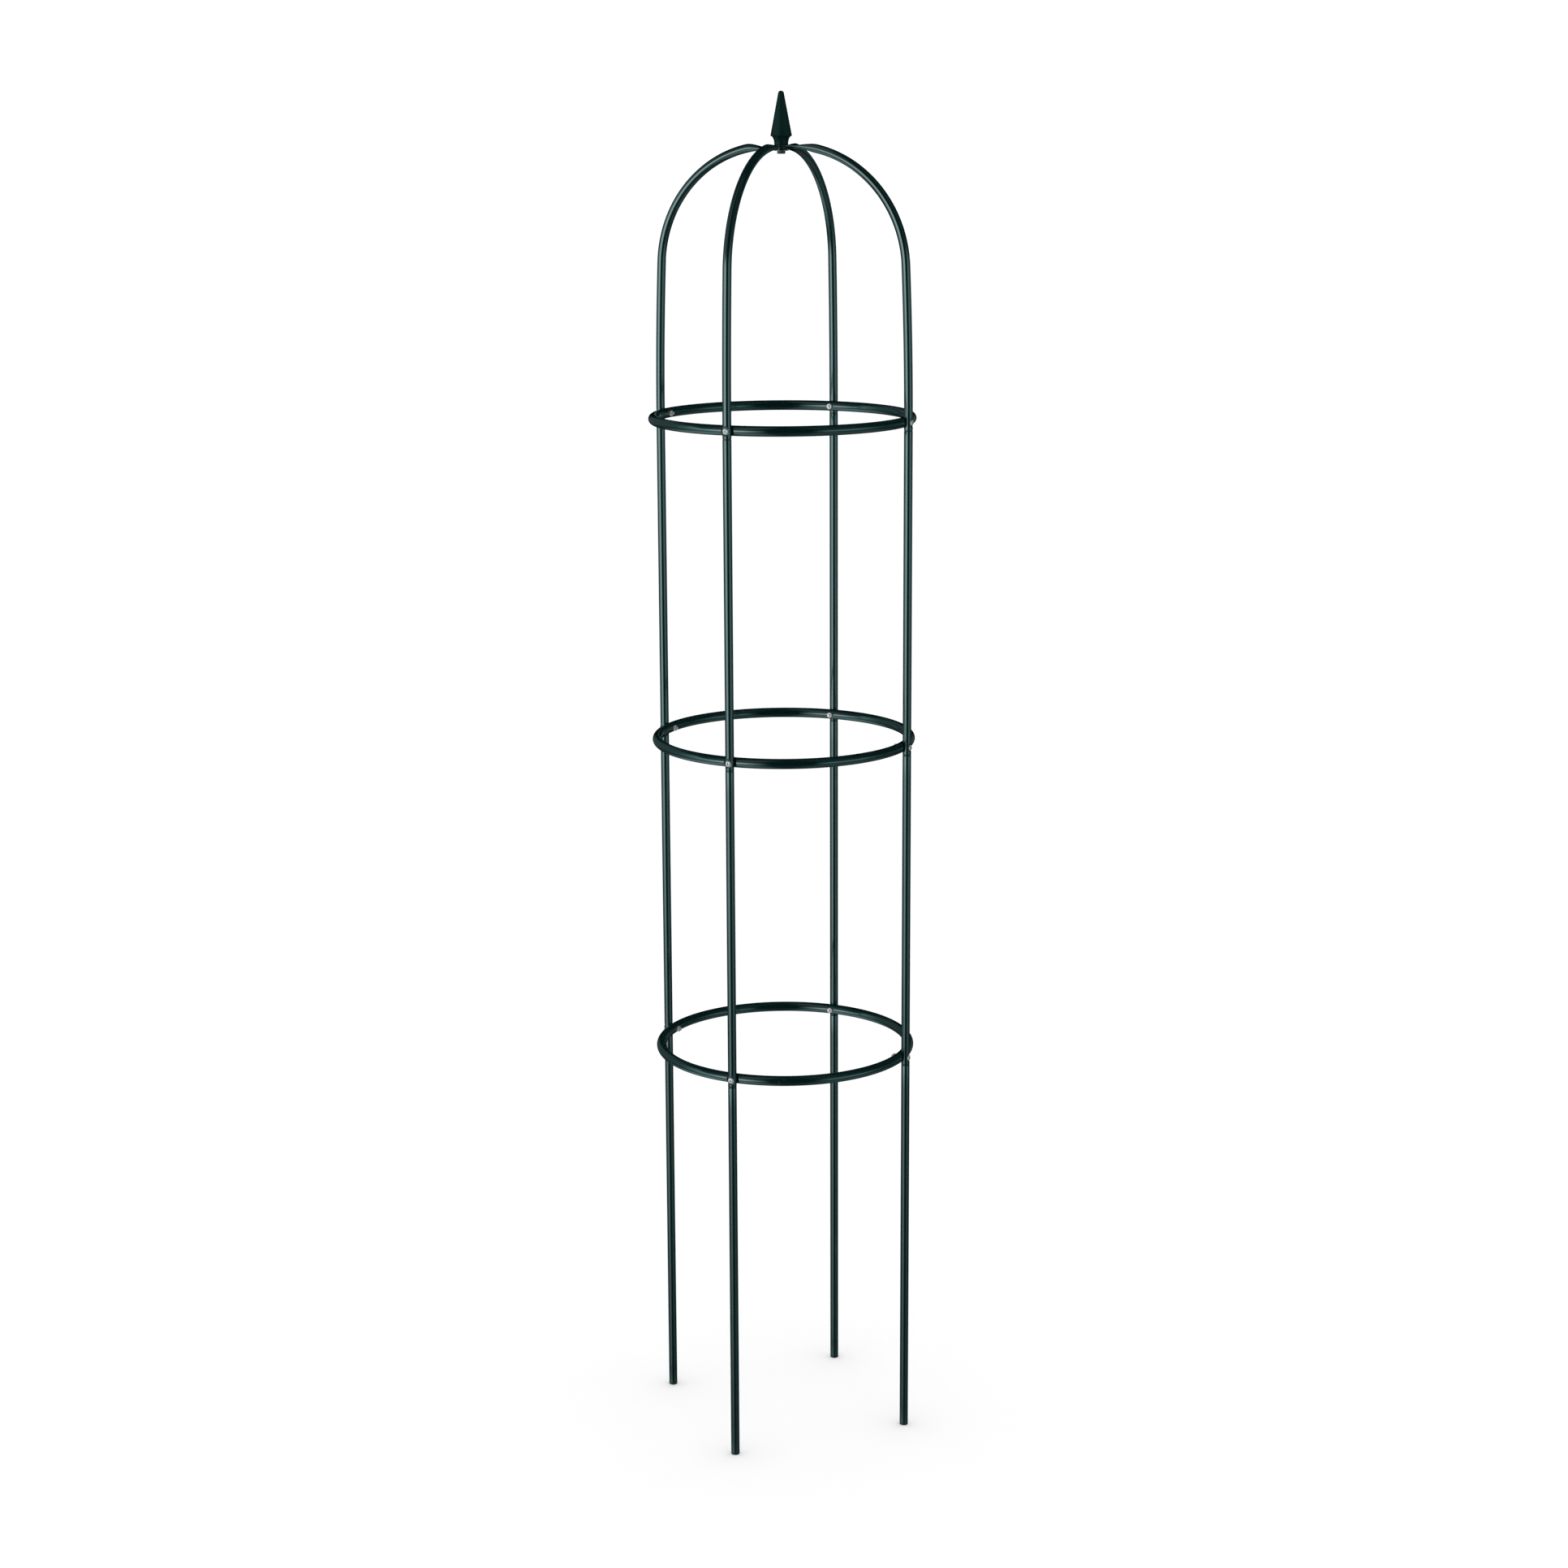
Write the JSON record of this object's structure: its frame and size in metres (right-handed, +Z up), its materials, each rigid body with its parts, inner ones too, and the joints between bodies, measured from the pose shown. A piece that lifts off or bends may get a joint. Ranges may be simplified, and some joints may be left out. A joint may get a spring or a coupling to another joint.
{
  "type": "garden obelisk",
  "caption": "Tall free-standing plant support: upright tube legs outside tubular rings, bent into a dome and bolted together under a pointed finial.",
  "frame": {"origin": "on the ground, in the middle of the four legs", "axes": "+Z up to the finial; the legs stand on the X and Y axes, with -Y as the front and +X on the right"},
  "size_m": [0.3852, 0.3852, 1.9],
  "materials": {
    "green_steel": "glossy dark blue-green coating on steel tube",
    "green_plastic": "satin moulded dark green plastic",
    "zinc_steel": "bright zinc plate",
    "black_plastic": "satin moulded black plastic"
  },
  "bodies": {
    "root": {"finial": "green_plastic", "crown_bolt": "zinc_steel", "crown_washer": "zinc_steel", "dome_tube_front": "green_steel", "dome_tube_right": "green_steel", "dome_tube_back": "green_steel", "dome_tube_left": "green_steel", "upper_leg_front": "green_steel", "upper_leg_right": "green_steel", "upper_leg_back": "green_steel", "upper_leg_left": "green_steel", "middle_leg_front": "green_steel", "middle_leg_right": "green_steel", "middle_leg_back": "green_steel", "middle_leg_left": "green_steel", "lower_leg_front": "green_steel", "lower_leg_right": "green_steel", "lower_leg_back": "green_steel", "lower_leg_left": "green_steel", "top_ring": "green_steel", "middle_ring": "green_steel", "bottom_ring": "green_steel", "end_cap_front": "black_plastic", "end_cap_right": "black_plastic", "end_cap_back": "black_plastic", "end_cap_left": "black_plastic", "top_ring_screws": "zinc_steel", "top_ring_nuts": "zinc_steel", "middle_ring_screws": "zinc_steel", "middle_ring_nuts": "zinc_steel", "bottom_ring_screws": "zinc_steel", "bottom_ring_nuts": "zinc_steel"}
  },
  "joints": []
}
